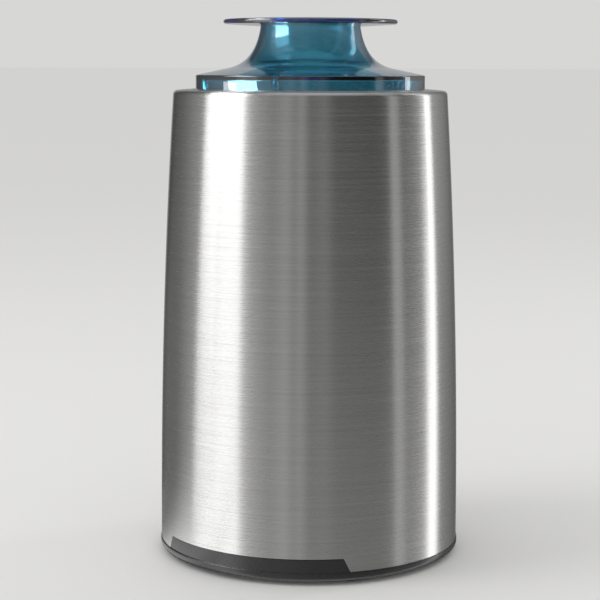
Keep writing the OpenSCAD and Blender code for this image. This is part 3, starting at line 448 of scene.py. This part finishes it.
def sleeve_radius(z):
    """Outer radius of the sleeve at a height: upright at the foot, drawing in towards the top."""
    way = (z - SLEEVE_FOOT_Z) / (SLEEVE_TOP_Z - SLEEVE_FOOT_Z)
    return SLEEVE_R - SLEEVE_TAPER * way**2


def cut_window(bm, outline, side):
    """Cuts a convex opening, seen along Y, out of the sheet on one side of the part."""
    middle = Vector((sum(x for x, z in outline), 0, sum(z for x, z in outline))) / len(outline)
    cuts = []
    for (x0, z0), (x1, z1) in zip(outline, outline[1:]):
        corner = Vector((x0, 0, z0))
        outward = Vector((z1 - z0, 0, x0 - x1)).normalized()
        if outward.dot(middle - corner) > 0:
            outward.negate()
        cuts.append((corner * MM, outward))
    # Only the sheet round the opening is cut, up to this far from it
    margin = 6
    widest = (max(abs(x) for x, z in outline) + margin) * MM
    tallest = (max(z for x, z in outline) + margin) * MM

    def near(element):
        points = [v.co for v in getattr(element, "verts", [element])]
        return all(p.y * side > 0 and abs(p.x) < widest and p.z < tallest for p in points)

    def inside(point):
        within = all(outward.dot(point - corner) <= 0 for corner, outward in cuts)
        return within and point.y * side > 0

    for corner, outward in cuts:
        sheet = [e for e in list(bm.verts) + list(bm.edges) + list(bm.faces) if near(e)]
        bmesh.ops.bisect_plane(bm, geom=sheet, dist=0.001 * MM, plane_co=corner, plane_no=outward)
    gone = [f for f in bm.faces if inside(f.calc_center_median())]
    bmesh.ops.delete(bm, geom=gone, context="FACES")


def front_notch():
    """The cut-out for the base's front tab: straight slanted sides, wider at the foot."""
    top = SLEEVE_FOOT_Z + FRONT_NOTCH_H
    low = FRONT_NOTCH_HALF + FRONT_NOTCH_FLARE
    left = [(-low, SLEEVE_FOOT_Z), (-FRONT_NOTCH_HALF, top)]
    return left + [(-x, z) for x, z in reversed(left)]


def rear_notch():
    """The cut-out for the cord gland: upright sides and round top corners."""
    corner_z = SLEEVE_FOOT_Z + REAR_NOTCH_H - REAR_NOTCH_CORNER
    inner = REAR_NOTCH_HALF - REAR_NOTCH_CORNER
    outline = [(-REAR_NOTCH_HALF, SLEEVE_FOOT_Z)]
    outline += arc(REAR_NOTCH_CORNER, (-inner, corner_z), 180, 90, 6)
    outline += arc(REAR_NOTCH_CORNER, (inner, corner_z), 90, 0, 6)
    return outline + [(REAR_NOTCH_HALF, SLEEVE_FOOT_Z)]


def sleeve(material):
    """The brushed sheet: a long taper, a rounded shoulder and a deck rising to the lid's opening."""
    side_top = SLEEVE_TOP_Z - DECK_FALL - SHOULDER
    corner = sleeve_radius(side_top) - SHOULDER
    lip_drop, lip_flat = 0.05, 0.1
    lip_top = SLEEVE_TOP_Z - lip_drop
    steps = 30
    levels = [SLEEVE_FOOT_Z + (side_top - SLEEVE_FOOT_Z) * i / steps for i in range(steps + 1)]
    section = [(sleeve_radius(z), z) for z in levels]
    section += arc(SHOULDER, (corner, side_top), 7, 85, 10)
    section += [(OPENING_R + OPENING_LIP + lip_flat, lip_top)]
    section += arc(OPENING_LIP, (OPENING_R + OPENING_LIP, lip_top - OPENING_LIP), 98, 180, 5)
    bm = turned(section, 288, closed=False)
    cut_window(bm, front_notch(), -1)
    cut_window(bm, rear_notch(), 1)
    bmesh.ops.recalc_face_normals(bm, faces=bm.faces)
    if sum(f.normal.dot(f.calc_center_median()) for f in bm.faces) < 0:
        bmesh.ops.reverse_faces(bm, faces=bm.faces)
    bmesh.ops.solidify(bm, geom=bm.faces, thickness=SHEET * MM)
    fit(made(bm, "sleeve_sheet"), "housing", material, "steel_sleeve")


def flare():
    """The curve from the disc down the neck to the shoulder, outside and inside the wall."""
    start = Vector((NECK_R, DISC_UNDER_Z))
    end = Vector((FLARE_R, LID_RIM_Z + (LID_R - FLARE_R) * LID_SLOPE))
    turn_r = NECK_R + NECK_LEAN * (DISC_UNDER_Z - LID_RIM_Z - LID_R * LID_SLOPE)
    turn_r /= 1 - NECK_LEAN * LID_SLOPE
    pull = Vector((turn_r, LID_RIM_Z + (LID_R - turn_r) * LID_SLOPE))
    outer, inner = [], []
    steps = 32
    for i in range(steps + 1):
        t = i / steps
        point = (1 - t) ** 2 * start + 2 * t * (1 - t) * pull + t**2 * end
        way = 2 * (1 - t) * (pull - start) + 2 * t * (end - pull)
        across = Vector((-way.y, way.x)).normalized()
        outer.append(tuple(point))
        inner.append(tuple(point - LID_WALL * across))
    return outer, inner


def disc_top(radius):
    """Height of the domed disc at a radius."""
    return LID_TOP_Z - DISC_FALL * (radius / DISC_R) ** 2


def lid_section():
    """The clear wall in section: skirt, rim, shoulder, flared neck and lens-shaped top disc."""
    outer, inner = flare()
    edge_r = DISC_R - DISC_EDGE
    ceiling_r = NECK_R - LID_WALL - LID_CEILING_EDGE
    # How far below the rim's height its edges are centred, outside and inside
    drop, drop_in = 0.35, 0.2
    chamfer_w, chamfer_h = 0.2, 0.3
    # Centres of the rounded edges
    skirt = (LID_R - LID_SKIRT_EDGE, LID_SKIRT_Z + LID_SKIRT_EDGE)
    rim = (LID_R - LID_RIM_EDGE, LID_RIM_Z - drop)
    rim_in = (LID_IN - LID_SKIRT_EDGE, LID_RIM_Z - LID_WALL - drop_in)
    ceiling = (ceiling_r, LID_CEILING_Z - LID_CEILING_EDGE)
    steps = 12
    section = [(LID_IN + chamfer_w, LID_SKIRT_Z)] + arc(LID_SKIRT_EDGE, skirt, -90, 0, 4)
    section += arc(LID_RIM_EDGE, rim, 0, 78, 6)
    section += outer[::-1]
    section += arc(DISC_EDGE, (edge_r, disc_top(edge_r) - DISC_EDGE), -87, 86, 12)
    radii = [edge_r * i / steps for i in range(steps, -1, -1)]
    section += [(r, disc_top(r)) for r in radii]
    section += [(0, LID_CEILING_Z)] + arc(LID_CEILING_EDGE, ceiling, 90, 5, 6)
    section += inner
    section += arc(LID_SKIRT_EDGE, rim_in, 78, 0, 4)
    return section + [(LID_IN, LID_SKIRT_Z + chamfer_h)]


def lid_ribs():
    """Upright ribs that stiffen the rim from inside and bear on the seal."""
    bm = bmesh.new()
    # Their roots and heads reach into the wall, so that the two grow together
    low, high = SEAL_TOP_Z, LID_RIM_Z - LID_WALL + RIB_HEAD
    depth = RIB_DEEP + RIB_ROOT
    size = Matrix.Diagonal((depth * MM, RIB_THICK * MM, (high - low) * MM, 1))
    place = Matrix.Translation(((LID_IN + RIB_ROOT - depth / 2) * MM, 0, (low + high) / 2 * MM))
    for i in range(RIB_COUNT):
        turn = Matrix.Rotation(math.radians(RIB_TURN + 360 / RIB_COUNT * i), 4, "Z")
        bmesh.ops.create_cube(bm, size=1, matrix=turn @ place @ size)
    bmesh.ops.bevel(
        bm,
        geom=bm.edges,
        offset=RIB_EDGE * MM,
        segments=2,
        profile=0.5,
        affect="EDGES",
        material=-1,
    )
    return made(bm, "ribs", crease=40)


def grown_together(piece, other):
    """Joins two closed solids into one wall without faces inside."""
    join = piece.modifiers.new("join", "BOOLEAN")
    join.operation = "UNION"
    join.solver = "EXACT"
    join.object = other
    evaluated = piece.evaluated_get(bpy.context.evaluated_depsgraph_get())
    joined = bpy.data.meshes.new_from_object(evaluated)
    piece.modifiers.clear()
    piece.data = joined
    bpy.data.objects.remove(other)


def lid(material):
    """The clear lid: one thin wall from the skirt over the rim and the flare to the top disc."""
    shell = made(turned(lid_section(), 256), "clear_lid", crease=40)
    grown_together(shell, lid_ribs())
    fit(shell, "lid", material, "lid_shell")


def cup(material):
    """The drawn cup, with its floor hole and its rolled rim."""
    out = CUP_R + CUP_WALL
    bend = CUP_CORNER + CUP_WALL
    curl = (CUP_R + CUP_CURL, CUP_TOP_Z - CUP_CURL)
    under_curl = CUP_TOP_Z - 2 * CUP_CURL - 0.3
    # Two rings on the straight wall keep its shading even
    rings = [(CUP_R, CUP_TOP_Z - 12), (CUP_R, CUP_FLOOR_Z + CUP_CORNER + 8)]
    section = [(CUP_HOLE_R, CUP_UNDER_Z)] + arc(bend, (out - bend, CUP_UNDER_Z + bend), -90, 0, 10)
    section += [(out, under_curl)]
    section += arc(CUP_CURL, curl, -70, 180, 18)
    section += rings
    section += arc(CUP_CORNER, (CUP_R - CUP_CORNER, CUP_FLOOR_Z + CUP_CORNER), 0, -90, 10)
    section += [(CUP_HOLE_R, CUP_FLOOR_Z)]
    fit(made(turned(section, 224), "cup_bowl"), "cup", material, "grinding_cup")


def seal(material):
    """The soft ring between the lid and the cup's rim, with its lower edges rounded."""
    centre_z = SEAL_Z + SEAL_EDGE
    section = arc(SEAL_EDGE, (SEAL_IN + SEAL_EDGE, centre_z), 180, 270, 4)
    section += arc(SEAL_EDGE, (SEAL_R - SEAL_EDGE, centre_z), 270, 360, 4)
    section += [(SEAL_R, SEAL_TOP_Z), (SEAL_IN, SEAL_TOP_Z)]
    fit(made(turned(section, 192), "seal_ring"), "lid", material, "lid_seal")


# ------------------------------------------------------------------ the CAD nodes' finishes


def dress(names, material):
    """Gives CAD nodes that stay a smooth skin with crisp edges, and their finish."""
    for name in names.split():
        piece = nodes[name]
        for old in [a for a in piece.data.attributes if a.name == "custom_normal"]:
            piece.data.attributes.remove(old)
        piece.data.polygons.foreach_set("use_smooth", [True] * len(piece.data.polygons))
        weld = piece.modifiers.new("weld", "WELD")
        weld.merge_threshold = 0.001 * MM
        split = piece.modifiers.new("crisp edges", "EDGE_SPLIT")
        split.split_angle = math.radians(CRISP_ANGLE)
        piece.data.materials.clear()
        piece.data.materials.append(material)


dress(
    "base cup_foot press_carrier",
    moulded_plastic("satin black plastic", (0.009, 0.0095, 0.0105), 0.28, shine=0.85),
)
dress("chassis", moulded_plastic("grey frame plastic", (0.1, 0.105, 0.115), 0.5))
dress("feet cord_gland mount_dampers shaft_seal", rubber("black rubber", (0.022, 0.022, 0.023)))
dress("shaft_bush", plated("sintered bronze", (0.5, 0.33, 0.16), 0.42))
dress("blade blade_spacer blade_nut", ground_blade_steel())
dress(
    "blade_shaft shaft_clip base_screws motor_screws mount_screws switch_screws motor_shaft"
    " upper_bearing lower_bearing carrier_springs switch_lever",
    plated("bright steel", (0.56, 0.56, 0.57), 0.3),
)
dress(
    "cup_coupling drive_coupling cooling_fan",
    moulded_plastic("white plastic", (0.72, 0.71, 0.68), 0.4),
)
dress("stator_core armature_core", stacked_sheets())
dress("field_coils armature_winding", wound_copper())
dress("commutator", plated("commutator copper", (0.66, 0.32, 0.16), 0.3))
dress("upper_bracket", cast_metal())
dress(
    "lower_bracket micro_switch",
    moulded_plastic("black bracket plastic", (0.04, 0.04, 0.042), 0.5),
)
dress("brush_holders brush_springs", plated("brass", (0.68, 0.49, 0.2), 0.3))
dress("carbon_brushes", pressed_carbon())
dress("switch_button", moulded_plastic("red plastic", (0.45, 0.03, 0.02), 0.35))
sleeve(brushed_sleeve_steel())
lid(clear_blue_plastic())
cup(drawn_cup_steel())
seal(seal_silicone())


# ------------------------------------------------------------------ studio

# Metres and degrees. The side is the camera's angle to the right of the part's front.
CAMERA_SIDE = 25.5
CAMERA_DISTANCE = 0.6374
CAMERA_HEIGHT = 0.1772
CAMERA_DOWN = 7.83
CAMERA_ROLL = 0.2
FLOOR_R = 40
PAPER_R = 1.4
PAPER_TOP = 3.5
PAPER_BOTTOM = -3
CARD_R = 1.38
LAMP_DISTANCE = 1.0
LAMP_HEIGHT = 0.45
AIM_HEIGHT = 0.1

ROOM_LIGHT = 0.78
BACKDROP = (0.68, 0.678, 0.672)
FLOOR_COLOUR = (0.83, 0.825, 0.815)
WHITE = (1, 1, 1)
WARM = (1, 0.5, 0.38)


def studio_floor():
    """A wide pale floor that takes the shadow but stays out of the shine and the clear lid."""
    bm = bmesh.new()
    bmesh.ops.create_circle(bm, cap_ends=True, radius=FLOOR_R, segments=96)
    floor = made(bm, "pale_floor")
    pale = Finish("pale floor", FLOOR_COLOUR, 0.9, Specular_IOR_Level=0.0)
    floor.data.materials.append(pale.material)
    floor.visible_glossy = False
    floor.visible_transmission = False


def tone_paper(name, tones, tint):
    """A paper that glows by (angle, tone): the angles go round the part and a tone of 1 is white."""
    paper = bpy.data.materials.new(name)
    paper.use_nodes = True
    tree = paper.node_tree
    tree.nodes.remove(tree.nodes["Principled BSDF"])
    place = tree.nodes.new("ShaderNodeTexCoord")
    facing = tree.nodes.new("ShaderNodeMapping")
    facing.inputs["Rotation"].default_value = (0, 0, math.radians(90 - CAMERA_SIDE))
    angle = tree.nodes.new("ShaderNodeTexGradient")
    angle.gradient_type = "RADIAL"
    ramp = tree.nodes.new("ShaderNodeValToRGB")
    glow = tree.nodes.new("ShaderNodeEmission")
    tree.links.new(place.outputs["Object"], facing.inputs["Vector"])
    tree.links.new(facing.outputs["Vector"], angle.inputs["Vector"])
    tree.links.new(angle.outputs["Fac"], ramp.inputs["Fac"])
    tree.links.new(ramp.outputs["Color"], glow.inputs["Color"])
    tree.links.new(glow.outputs["Emission"], tree.nodes["Material Output"].inputs["Surface"])
    stops = ramp.color_ramp.elements
    stops[0].position = 0.0
    stops[1].position = 1.0
    for degrees, _ in tones[1:-1]:
        stops.new((degrees + 180) / 360)
    for stop, (_, tone) in zip(stops, tones):
        stop.color = (*scaled(tint, tone), 1)
    paper.cycles.emission_sampling = "NONE"
    return paper


def curved_card(name, section, start, end, tones, tint=WHITE):
    """A card bent round the part that shows only in its shine and through its clear lid.

    Angles are degrees to the right of the camera's side.
    """
    bm = bmesh.new()
    first = math.radians(CAMERA_SIDE + start)
    corners = [bm.verts.new((r * math.sin(first), -r * math.cos(first), z)) for r, z in section]
    edges = [bm.edges.new(pair) for pair in zip(corners, corners[1:])]
    bmesh.ops.spin(
        bm,
        geom=corners + edges,
        cent=(0, 0, 0),
        axis=(0, 0, 1),
        angle=math.radians(end - start),
        steps=96,
        use_merge=end - start == 360,
    )
    card = made(bm, name)
    card.data.materials.append(tone_paper(name, tones, tint))
    card.visible_camera = False
    card.visible_diffuse = False
    card.visible_shadow = False
    card.visible_volume_scatter = False
    return card


def paper_walls():
    """Grey paper all round with bright and dark uprights.

    The upper part of the sleeve mirrors the paper above the floor's level, and the lower part
    the brighter paper below it.
    """
    upper = [
        (-180, 0.45), (-166, 0.4), (-156, 0.06), (-130, 0.16), (-96, 0.4), (-77, 0.45), (-75, 0.8),
        (-55, 0.8), (-52, 0.5), (-45, 0.37), (-30, 0.22), (-18, 0.35), (-12, 0.2), (-7, 0.38),
        (0, 0.1), (12, 0.2), (20, 0.04), (65, 0.02), (68, 0.46), (74, 0.46), (78, 0.12), (103, 0.2),
        (117, 0.55), (126, 0.42), (160, 0.12), (167, 0.4), (180, 0.45),
    ]
    lower = [
        (-180, 0.45), (-166, 0.4), (-157, 0.08), (-146, 0.19), (-122, 0.2), (-99, 0.5), (-97, 1.2),
        (-77, 1.2), (-75, 1.45), (-56, 1.45), (-52, 0.6), (-43, 0.5), (-30, 0.42), (-18, 0.5),
        (-12, 0.36), (-7, 0.42), (0, 0.32), (66, 0.27), (70, 0.55), (75, 0.55), (79, 0.34),
        (100, 0.38), (104, 2.3), (113, 2.3), (115.5, 0.4), (127, 0.28), (158, 0.12), (167, 0.4),
        (180, 0.45),
    ]
    curved_card("upper_card", [(PAPER_R, 0), (PAPER_R, PAPER_TOP)], -180, 180, upper)
    curved_card("lower_card", [(PAPER_R, PAPER_BOTTOM), (PAPER_R, 0)], -180, 180, lower)


def bright_cards():
    """The windows, a low board, a bright strip and the ceiling, in front of the paper.

    A card for shine shows only in reflections, and one for glow only through the clear lid.
    """
    # Name, lower and upper edge, first and last angle, tone, tint and use
    for name, low, high, start, end, tone, tint, use in [
        ("window_shine", 0.35, 1.26, -94.5, -55, 3.1, WHITE, "shine"),
        ("window_glow", 0.35, 1.2, -92, -56, 110, WARM, "glow"),
        ("board_shine", 0.1, 0.22, -94.5, -77, 3.0, WHITE, "shine"),
        ("strip_shine", 0, 3, 107, 116, 2.2, WHITE, "shine"),
        ("ceiling_shine", 1.5, 3.4, -78, 180, 0.5, WHITE, "shine"),
        ("high_window", 1.28, 2.4, -118, -80, 6, WHITE, "shine"),
        ("strip_glow", 0.02, 0.35, 100, 115, 2.2, WHITE, "glow"),
    ]:
        even = [(-180, tone), (180, tone)]
        card = curved_card(name, [(CARD_R, low), (CARD_R, high)], start, end, even, tint)
        card.visible_transmission = use == "glow"
        card.visible_glossy = use == "shine"


def floor_sheen():
    """A strip of floor close to the foot, brighter on the window's side, that the base mirrors."""
    inner, outer, height = 0.0555, 0.12, 0.0004
    sheen = [(-180, 0.3), (-112, 0.25), (-98, 0.45), (-84, 0.9), (-60, 1.5), (-48, 1.1), (180, 0.4)]
    sheet = curved_card("floor_sheen", [(inner, height), (outer, height)], -165, -45, sheen)
    sheet.visible_transmission = False


def softbox(name, azimuth, size, power):
    """A lamp with a soft front, at an angle to the right of the part's front, facing the part."""
    lamp = bpy.data.lights.new(name, "AREA")
    lamp.shape = "RECTANGLE"
    lamp.size, lamp.size_y = size
    lamp.energy = power
    box = bpy.data.objects.new(name, lamp)
    bpy.context.scene.collection.objects.link(box)
    turn = math.radians(azimuth)
    box.location = (LAMP_DISTANCE * math.sin(turn), -LAMP_DISTANCE * math.cos(turn), LAMP_HEIGHT)
    aim = Vector((0, 0, AIM_HEIGHT)) - box.location
    box.rotation_euler = aim.to_track_quat("-Z", "Y").to_euler()
    box.visible_camera = False
    box.visible_glossy = False


def background(tree, colour, strength):
    """One plain colour of the world."""
    node = tree.nodes.new("ShaderNodeBackground")
    node.inputs["Color"].default_value = (*colour, 1)
    node.inputs["Strength"].default_value = strength
    return node.outputs[0]


def soft_room():
    """Even white light on the part, with a pale backdrop for the camera, the shine and the lid."""
    world = bpy.data.worlds.new("soft room")
    bpy.context.scene.world = world
    world.use_nodes = True
    tree = world.node_tree
    tree.nodes.clear()
    path = tree.nodes.new("ShaderNodeLightPath")
    shown = path.outputs["Is Camera Ray"]
    for ray in ("Is Glossy Ray", "Is Transmission Ray"):
        either = tree.nodes.new("ShaderNodeMath")
        either.operation = "MAXIMUM"
        tree.links.new(shown, either.inputs[0])
        tree.links.new(path.outputs[ray], either.inputs[1])
        shown = either.outputs[0]
    mix = tree.nodes.new("ShaderNodeMixShader")
    out = tree.nodes.new("ShaderNodeOutputWorld")
    tree.links.new(shown, mix.inputs[0])
    tree.links.new(background(tree, WHITE, ROOM_LIGHT), mix.inputs[1])
    tree.links.new(background(tree, BACKDROP, 1.0), mix.inputs[2])
    tree.links.new(mix.outputs[0], out.inputs["Surface"])


def camera():
    """A long lens at about the height of the lid, looking a little down."""
    lens = bpy.data.cameras.new("camera")
    lens.sensor_width = 36
    lens.lens = 106.26
    lens.shift_x = -0.016
    lens.shift_y = 0.0067
    lens.clip_start = 0.02
    lens.clip_end = 100
    view = bpy.data.objects.new("camera", lens)
    bpy.context.scene.collection.objects.link(view)
    turn = math.radians(CAMERA_SIDE)
    x, y = CAMERA_DISTANCE * math.sin(turn), -CAMERA_DISTANCE * math.cos(turn)
    place = Matrix.Translation((x, y, CAMERA_HEIGHT))
    look = Matrix.Rotation(math.radians(90 - CAMERA_DOWN), 4, "X")
    roll = Matrix.Rotation(math.radians(CAMERA_ROLL), 4, "Z")
    view.matrix_world = place @ Matrix.Rotation(turn, 4, "Z") @ look @ roll
    bpy.context.scene.camera = view


studio_floor()
paper_walls()
bright_cards()
floor_sheen()
softbox("left_softbox", azimuth=-48.5, size=(0.56, 1.3), power=4.6)
softbox("right_strip", azimuth=144.5, size=(0.17, 1.3), power=1.5)
soft_room()
camera()
bpy.context.scene.view_settings.view_transform = "Standard"
